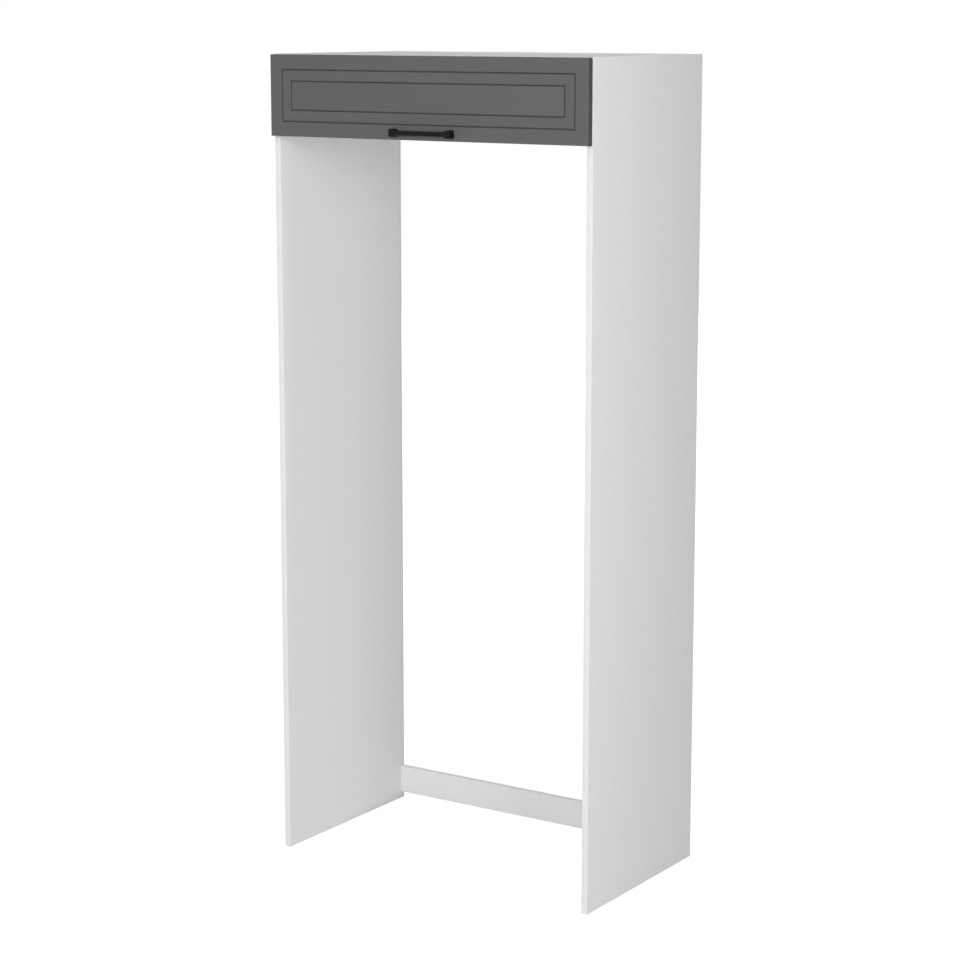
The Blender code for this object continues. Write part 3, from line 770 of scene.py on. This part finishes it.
def seat_screw(model, plate, name, place, direction, body):
    """A hole in a plate and a screw in it, whose head faces a direction."""
    place = Vector(place)
    along = Vector(direction) * overrun
    radius = screw_shank_radius + fitting_clearance
    cut(plate, add_bar("screw_hole", place - along, place + along, radius, thin_bar_sides))
    screw = copy_piece(model, name, place, facing(direction))
    finish_piece(screw, body, finishes["steel"])


def throw_away(*models):
    """Takes away the models that only served for copies."""
    for model in models:
        bpy.data.objects.remove(model)


def make_handle_screws():
    """The two screws that hold the handle, sunk behind the flap."""
    low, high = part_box("handle_screw_left")
    shank = high.y - low.y - handle_screw_head
    model = model_screw((high.x - low.x) / 2, handle_screw_head, handle_screw_radius, shank)
    for side in SIDES:
        low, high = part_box("handle_screw_" + side)
        middle = (low + high) / 2
        place = (middle.x, high.y - handle_screw_head, middle.z)
        screw = copy_piece(model, side + "_handle_screw", place, facing((0, 1, 0)))
        finish_piece(screw, "flap", finishes["steel"], ["handle_screw_" + side])
    throw_away(model)


def make_bumpers():
    """Two soft discs with domed faces behind the flap's lower corners."""
    for side in SIDES:
        low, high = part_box("flap_bumper_" + side)
        middle = (low + high) / 2
        radius = (high.x - low.x) / 2
        start = (middle.x, low.y, middle.z)
        end = (middle.x, high.y, middle.z)
        bumper = add_bar(side + "_bumper", start, end, radius, small_bar_sides)
        round_edges(bumper, lambda a, b: min(a.y, b.y) > high.y - touch, bumper_dome)
        finish_piece(bumper, "flap", finishes["silicone"], ["flap_bumper_" + side])


def make_hinge_cup(side, screw):
    """A cup with a rounded foot, in a flange that is screwed to the flap's back."""
    low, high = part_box("hinge_cup_" + side)
    middle = (low + high) / 2
    flap_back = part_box("flap")[1].y
    foot = (middle.x, low.y, middle.z)
    rim = (middle.x, high.y, middle.z)
    cup = add_bar(side + "_cup", foot, rim, cup_radius, wide_bar_sides)
    round_edges(cup, lambda a, b: max(a.y, b.y) < low.y + touch, cup_foot_radius)
    pick_faces(cup, lambda normal, middle: normal.y > FLAT)
    bpy.ops.mesh.inset(thickness=cup_wall)
    extrude((0, low.y + cup_wall - high.y, 0))
    under = flap_back + fitting_clearance
    over = high.y - cup_rim_step
    half = cup_flange_height / 2
    flange = add_block("flange", (low.x, under, middle.z - half), (high.x, over, middle.z + half))
    round_edges(flange, lambda a, b: abs(a.y - b.y) > touch, cup_flange_corner, corner_steps)
    mouth_start = (middle.x, under - overrun, middle.z)
    mouth_end = (middle.x, over + overrun, middle.z)
    cut(flange, add_bar("mouth", mouth_start, mouth_end, cup_radius - cup_wall / 2, wide_bar_sides))
    weld(cup, flange)
    for number, sign in enumerate((-1, 1), start=1):
        place = (middle.x + sign * cup_screw_offset, over, middle.z)
        seat_screw(screw, cup, f"{side}_cup_screw_{number}", place, (0, 1, 0), "flap")
    finish_piece(cup, "flap", finishes["steel"], ["hinge_cup_" + side])


def make_hinge_arm(side, screw):
    """The arm's channel with rounded long edges, the lever's pin and two adjusting screws."""
    low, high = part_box("hinge_arm_" + side)
    middle = (low + high) / 2
    arm = add_block(side + "_arm", low, high)
    round_edges(arm, lambda a, b: abs(a.y - b.y) > touch and max(a.z, b.z) < low.z + touch, arm_rounding)
    inside = (high.x - low.x) / 2 - arm_wall
    channel_low = (middle.x - inside, low.y - overrun, low.z + arm_wall)
    cut(arm, add_block("channel", channel_low, (middle.x + inside, high.y + overrun, high.z + overrun)))
    pin_y = low.y - arm_front_gap + lever_pin_back
    pin_z = low.z + lever_pin_rise
    reach = inside + arm_wall / 2
    pin_start = (middle.x - reach, pin_y, pin_z)
    pin_end = (middle.x + reach, pin_y, pin_z)
    weld(arm, add_bar("pin", pin_start, pin_end, lever_pin_radius, thin_bar_sides))
    for number, share in enumerate(arm_screw_shares, start=1):
        place = (middle.x, low.y + share * (high.y - low.y), low.z)
        seat_screw(screw, arm, f"{side}_arm_screw_{number}", place, (0, 0, -1), "root")
    finish_piece(arm, "root", finishes["steel"], ["hinge_arm_" + side])


def make_hinge_plate(side, screw):
    """The mounting plate with two rounded wings, its rail and two screws."""
    low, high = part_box("hinge_plate_" + side)
    middle = (low + high) / 2
    half = plate_length / 2
    under = high.z - plate_thickness
    plate = add_block(side + "_plate", (low.x, middle.y - half, under), (high.x, middle.y + half, high.z))
    round_edges(plate, lambda a, b: abs(a.z - b.z) > touch, plate_corner, corner_steps)
    ease_all(plate, bracket_easing)
    rail_low = (middle.x - plate_rail_width / 2, low.y, low.z)
    rail_high = (middle.x + plate_rail_width / 2, high.y, high.z - plate_thickness / 2)
    rail = add_block("rail", rail_low, rail_high)
    ease_all(rail, bracket_easing, soft_easing_steps)
    weld(plate, rail)
    for number, sign in enumerate((-1, 1), start=1):
        place = (middle.x + sign * plate_screw_offset, middle.y, under)
        seat_screw(screw, plate, f"{side}_plate_screw_{number}", place, (0, 0, -1), "root")
    finish_piece(plate, "root", finishes["steel"], ["hinge_plate_" + side])


def strut_line(side):
    """Where a strut's base lies, how far it slopes and how long it is with the flap shut."""
    low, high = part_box("strut_bracket_" + side)
    base = (low + high) / 2
    stud_low, stud_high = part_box("flap_bracket_" + side)
    stud = (stud_low + stud_high) / 2
    stud.y = stud_high.y - socket_radius
    tube_low, tube_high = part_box("strut_tube_" + side)
    base.x = (tube_low.x + tube_high.x) / 2
    run = base.y - stud.y
    drop = base.z - stud.z
    return base, math.atan2(drop, run), math.hypot(run, drop)


def lay_strut(piece, base, slope):
    """A piece modelled forwards from the origin goes to its strut's base and slope."""
    piece.matrix_world = Matrix.Translation(base) @ Matrix.Rotation(slope, 4, "X")
    settle(piece)


def make_strut_tube(side, base, slope):
    """The lacquered tube, hollow, with a narrow collar for the rod."""
    start = -strut_tube_start
    end = start - strut_tube_length
    tube = add_bar(side + "_tube", (0, start, 0), (0, end, 0), strut_tube_radius)
    round_edges(tube, lambda a, b: abs(a.y - b.y) < touch, strut_shoulder)
    pick_faces(tube, lambda normal, middle: normal.y < -FLAT)
    collar = strut_rod_radius + running_gap
    bpy.ops.mesh.inset(thickness=strut_tube_radius - strut_shoulder - collar)
    extrude((0, strut_end_wall, 0))
    extrude((0, 0, 0))
    wider = strut_bore_radius / collar
    bpy.ops.transform.resize(value=(wider, 1, wider), center_override=(0, end + strut_end_wall, 0))
    extrude((0, strut_tube_length - 2 * strut_end_wall, 0))
    lay_strut(tube, base, slope)
    finish_piece(tube, "strut_tube_" + side, finishes["lacquer"], ["strut_tube_" + side])


def make_socket(name, centre_y, neck_end, pierced, base, slope, body):
    """A nylon end piece across the strut, with a short neck along it."""
    half = socket_width / 2
    socket = add_bar(name, (-half, centre_y, 0), (half, centre_y, 0), socket_radius)
    ease_all(socket, socket_rounding, soft_easing_steps)
    neck = add_bar("neck", (0, centre_y, 0), (0, neck_end, 0), socket_neck_radius, small_bar_sides)
    weld(socket, neck)
    if pierced:
        reach = half + overrun
        eye_radius = pin_radius + fitting_clearance
        cut(socket, add_bar("eye", (-reach, centre_y, 0), (reach, centre_y, 0), eye_radius))
    lay_strut(socket, base, slope)
    finish_piece(socket, body, finishes["nylon"])


def make_strut_rod(side, base, slope, length):
    """The bright rod, with its piston inside the tube."""
    end = socket_radius - length
    rod = add_bar(side + "_rod", (0, -strut_piston_start, 0), (0, end, 0), strut_rod_radius)
    piston_start = -strut_piston_start + running_gap
    piston_end = -strut_piston_start - strut_piston_length
    piston = add_bar("piston", (0, piston_start, 0), (0, piston_end, 0), strut_piston_radius)
    ease_all(piston, bracket_easing)
    weld(rod, piston)
    lay_strut(rod, base, slope)
    finish_piece(rod, "strut_rod_" + side, finishes["steel"], ["strut_rod_" + side])


def make_strut_bracket(side, base, screw):
    """The plate on the side, with two screws and the pin that carries the strut."""
    node = "strut_bracket_" + side
    low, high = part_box(node)
    inwards = -1 if base.x > 0 else 1
    wall = high.x if inwards < 0 else low.x
    face = wall + inwards * bracket_thickness
    plate_low = (min(wall, face), low.y, low.z)
    plate = add_block(side + "_strut_bracket", plate_low, (max(wall, face), high.y, high.z))
    round_edges(plate, lambda a, b: abs(a.x - b.x) > touch, bracket_corner, bend_steps)
    ease_all(plate, bracket_easing)
    pin_end = low.x if inwards < 0 else high.x
    pin_start = wall + inwards * bracket_thickness / 2
    wall_end = (pin_start, base.y, base.z)
    pin = add_bar("pin", wall_end, (pin_end, base.y, base.z), pin_radius, small_bar_sides)
    ease_all(pin, bracket_easing)
    weld(plate, pin)
    for number, sign in enumerate((-1, 1), start=1):
        place = (face, base.y + sign * bracket_screw_offset, base.z)
        seat_screw(screw, plate, f"{side}_strut_screw_{number}", place, (inwards, 0, 0), "root")
    finish_piece(plate, "root", finishes["steel"], [node])


def make_flap_bracket(side, base, screw):
    """The plate on the flap's back, with its upright, its stud and two screws."""
    node = "flap_bracket_" + side
    low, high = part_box(node)
    middle = (low + high) / 2
    inwards = -1 if base.x > 0 else 1
    plate_over = low.y + bracket_thickness
    outer = high.x if inwards < 0 else low.x
    inner = low.x if inwards < 0 else high.x
    plate = add_block(side + "_flap_bracket", low, (high.x, plate_over, high.z))
    round_edges(plate, lambda a, b: abs(a.y - b.y) > touch, bracket_corner, bend_steps)
    ease_all(plate, bracket_easing)
    centre = outer + inwards * stud_reach
    half = upright_thickness / 2
    screw_x = (centre + inwards * half + inner) / 2
    for number, sign in enumerate((-1, 1), start=1):
        place = (screw_x, plate_over, middle.z + sign * flap_bracket_screw_offset)
        seat_screw(screw, plate, f"{side}_flap_bracket_screw_{number}", place, (0, 1, 0), "flap")
    upright_low = (centre - half, low.y + bracket_thickness / 2, middle.z - socket_radius)
    upright = add_block("upright", upright_low, (centre + half, high.y, middle.z + socket_radius))
    round_edges(
        upright, lambda a, b: min(a.y, b.y) > high.y - touch and abs(a.x - b.x) > touch, bracket_corner,
        corner_steps,
    )
    ease_all(upright, bracket_easing)
    stud_y = high.y - socket_radius
    stud_start = (min(centre, outer), stud_y, middle.z)
    stud_end = (max(centre, outer), stud_y, middle.z)
    stud = add_bar("stud", stud_start, stud_end, pin_radius, small_bar_sides)
    ease_all(stud, bracket_easing)
    weld(plate, upright, stud)
    finish_piece(plate, "flap", finishes["steel"], [node])


def make_wall_angle(side, screw):
    """A bent steel angle under the compartment's floor, with its screw up into the board."""
    node = "wall_bracket_" + side
    low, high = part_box(node)
    middle = (low + high) / 2
    thick = bracket_thickness
    angle = add_block(side + "_wall_angle", (low.x, low.y, high.z - thick), high)
    pick_all(angle)
    bpy.ops.mesh.bisect(plane_co=(0, high.y - thick, 0), plane_no=(0, 1, 0))
    pick_faces(angle, lambda normal, middle: normal.z < -FLAT and middle.y > high.y - thick)
    extrude((0, 0, low.z + thick - high.z))
    round_edges(
        angle, lambda a, b: min(a.y, b.y) > high.y - touch and min(a.z, b.z) > high.z - touch, angle_bend,
        bend_steps,
    )
    round_edges(angle, lambda a, b: max(a.y, b.y) < low.y + touch and abs(a.z - b.z) > touch, angle_corner)
    round_edges(angle, lambda a, b: max(a.z, b.z) < low.z + touch and abs(a.y - b.y) > touch, angle_corner)
    hole_z = (low.z + high.z) / 2
    hole_start = (middle.x, high.y - overrun, hole_z)
    cut(angle, add_bar("wall_hole", hole_start, (middle.x, high.y + overrun, hole_z), angle_hole_radius))
    place = (middle.x, middle.y, high.z - thick)
    seat_screw(screw, angle, side + "_angle_screw", place, (0, 0, -1), "root")
    finish_piece(angle, "root", finishes["steel"], [node])


def make_hinges_and_struts():
    """What joins the flap to the compartment at both ends, and the wall angles, which share its screws."""
    screw = model_screw(screw_head_radius, screw_head_height, screw_shank_radius, screw_stub)
    for side in SIDES:
        make_hinge_cup(side, screw)
        make_hinge_arm(side, screw)
        make_hinge_plate(side, screw)
        base, slope, length = strut_line(side)
        tube_body = "strut_tube_" + side
        rod_body = "strut_rod_" + side
        make_strut_tube(side, base, slope)
        make_socket(side + "_base_socket", 0, -strut_tube_start, True, base, slope, tube_body)
        make_strut_rod(side, base, slope, length)
        neck_end = 2 * socket_radius - length
        make_socket(side + "_front_socket", -length, neck_end, False, base, slope, rod_body)
        make_strut_bracket(side, base, screw)
        make_flap_bracket(side, base, screw)
        make_wall_angle(side, screw)
        carry_over("hinge_lever_" + side, finishes["steel"])
    throw_away(screw)


def place_cam(model, label, turn):
    """A copy of the cam at one of its places, and its bolt, which keeps its CAD shape."""
    low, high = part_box("cam_" + label)
    cam = copy_piece(model, label + "_cam", (low + high) / 2, turn)
    finish_piece(cam, "root", finishes["zinc"], ["cam_" + label])
    carry_over("cam_bolt_" + label, finishes["steel"])


def make_cams():
    """Ten cams with a dished face, a cross recess and a mouth for the bolt."""
    low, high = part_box("cam_top_right_front")
    bolt_low, bolt_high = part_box("cam_bolt_top_right_front")
    half = (high.z - low.z) / 2
    radius = (high.x - low.x) / 2
    bolt_rise = (bolt_low.z + bolt_high.z - low.z - high.z) / 2
    model = add_bar("cam_model", (0, 0, -half), (0, 0, half), radius)
    ease_all(model, cam_easing)
    pick_faces(model, lambda normal, middle: normal.z < -FLAT)
    bpy.ops.mesh.inset(thickness=cam_rim)
    extrude((0, 0, cam_dish))
    recess = cross_recess(cam_slot_length, cam_slot_width, cam_dish - half, cam_slot_depth)
    reach = radius + overrun
    mouth_start = (-cam_mouth_radius, 0, bolt_rise)
    mouth = add_bar("mouth", mouth_start, (reach, 0, bolt_rise), cam_mouth_radius, small_bar_sides)
    cut(model, *recess, mouth)
    downwards = {"left": Matrix.Rotation(math.pi, 3, "Z"), "right": Matrix.Identity(3)}
    lay_back = Matrix.Rotation(QUARTER, 3, "X")
    backwards = {"left": Matrix.Rotation(math.pi, 3, "Y") @ lay_back, "right": lay_back}
    for side in SIDES:
        for board in BOARDS:
            for station in STATIONS:
                place_cam(model, f"{board}_{side}_{station}", downwards[side])
        place_cam(model, "rail_" + side, backwards[side])
    throw_away(model)


def carry_over_hidden():
    """The back panel and the dowels keep their CAD shapes."""
    carry_over("back_panel", finishes["hardboard"])
    for board in (*BOARDS, "rail"):
        for side in SIDES:
            carry_over(f"dowel_{board}_{side}", finishes["beech"])


def seen_directly(tree):
    """1 for what the camera, a reflection or a look through glass sees, and 0 for light on other things."""
    path = tree.nodes.new("ShaderNodeLightPath")
    seen = path.outputs["Is Camera Ray"]
    for ray in ("Is Glossy Ray", "Is Transmission Ray"):
        either = tree.nodes.new("ShaderNodeMath")
        either.operation = "MAXIMUM"
        tree.links.new(seen, either.inputs[0])
        tree.links.new(path.outputs[ray], either.inputs[1])
        seen = either.outputs["Value"]
    return seen


def mix_shaders(tree, share, first, second):
    """From the first surface at a share of 0 to the second at 1."""
    mixed = tree.nodes.new("ShaderNodeMixShader")
    tree.links.new(share, mixed.inputs["Fac"])
    tree.links.new(first, mixed.inputs[1])
    tree.links.new(second, mixed.inputs[2])
    return mixed.outputs["Shader"]


def make_floor():
    """A wide pale floor, white when looked at, that keeps a soft shadow and is clear from below."""
    deselect()
    bpy.ops.mesh.primitive_circle_add(
        vertices=floor_sides, radius=floor_radius, fill_type="NGON", location=(0, 0, -floor_gap),
    )
    floor = name_new("studio_floor")
    material, tree, shader = start_material("pale_floor", gloss=0.0)
    shader.inputs["Roughness"].default_value = floor_roughness
    shader.inputs["Base Color"].default_value = floor_colour
    glow = tree.nodes.new("ShaderNodeEmission")
    glow.inputs["Strength"].default_value = floor_glow
    share = tree.nodes.new("ShaderNodeMath")
    share.operation = "MULTIPLY"
    share.inputs[1].default_value = floor_glow_share
    tree.links.new(seen_directly(tree), share.inputs[0])
    pale = mix_shaders(tree, share.outputs["Value"], shader.outputs["BSDF"], glow.outputs["Emission"])
    clear = tree.nodes.new("ShaderNodeBsdfTransparent")
    side = tree.nodes.new("ShaderNodeNewGeometry")
    surface = mix_shaders(tree, side.outputs["Backfacing"], pale, clear.outputs["BSDF"])
    tree.links.new(surface, tree.nodes["Material Output"].inputs["Surface"])
    floor.data.materials.append(material)


def make_surroundings():
    """Even pale light from all round, and white where one sees past the floor."""
    world = bpy.data.worlds.new("studio")
    bpy.context.scene.world = world
    world.use_nodes = True
    tree = world.node_tree
    background = tree.nodes["Background"]
    background.inputs["Color"].default_value = (1, 1, 1, 1)
    level = tree.nodes.new("ShaderNodeMapRange")
    level.inputs["To Min"].default_value = world_light
    level.inputs["To Max"].default_value = 1.0
    tree.links.new(seen_directly(tree), level.inputs["Value"])
    tree.links.new(level.outputs["Result"], background.inputs["Strength"])


def add_lamp(name, place, size, power):
    """A square soft lamp that points at the housing's middle."""
    data = bpy.data.lights.new(name, "AREA")
    data.size = size
    data.energy = power
    lamp = bpy.data.objects.new(name, data)
    bpy.context.scene.collection.objects.link(lamp)
    lamp.location = place
    lamp.rotation_euler = (Vector(aim) - Vector(place)).to_track_quat("-Z", "Y").to_euler()


def add_camera():
    """The camera that sees the housing as the photo does."""
    data = bpy.data.cameras.new("camera")
    data.lens = camera_lens
    data.shift_y = camera_shift
    camera = bpy.data.objects.new("camera", data)
    bpy.context.scene.collection.objects.link(camera)
    camera.location = camera_place
    camera.rotation_euler = (QUARTER - camera_pitch, 0, camera_turn)
    bpy.context.scene.camera = camera


make_boards()
make_flap()
make_handle()
make_handle_screws()
make_bumpers()
make_hinges_and_struts()
make_cams()
carry_over_hidden()
make_floor()
make_surroundings()
add_lamp("front_lamp", front_lamp_place, front_lamp_size, front_lamp_power)
add_lamp("side_lamp", side_lamp_place, side_lamp_size, side_lamp_power)
add_lamp("back_lamp", back_lamp_place, back_lamp_size, back_lamp_power)
add_camera()
bpy.context.scene.view_settings.view_transform = "Standard"
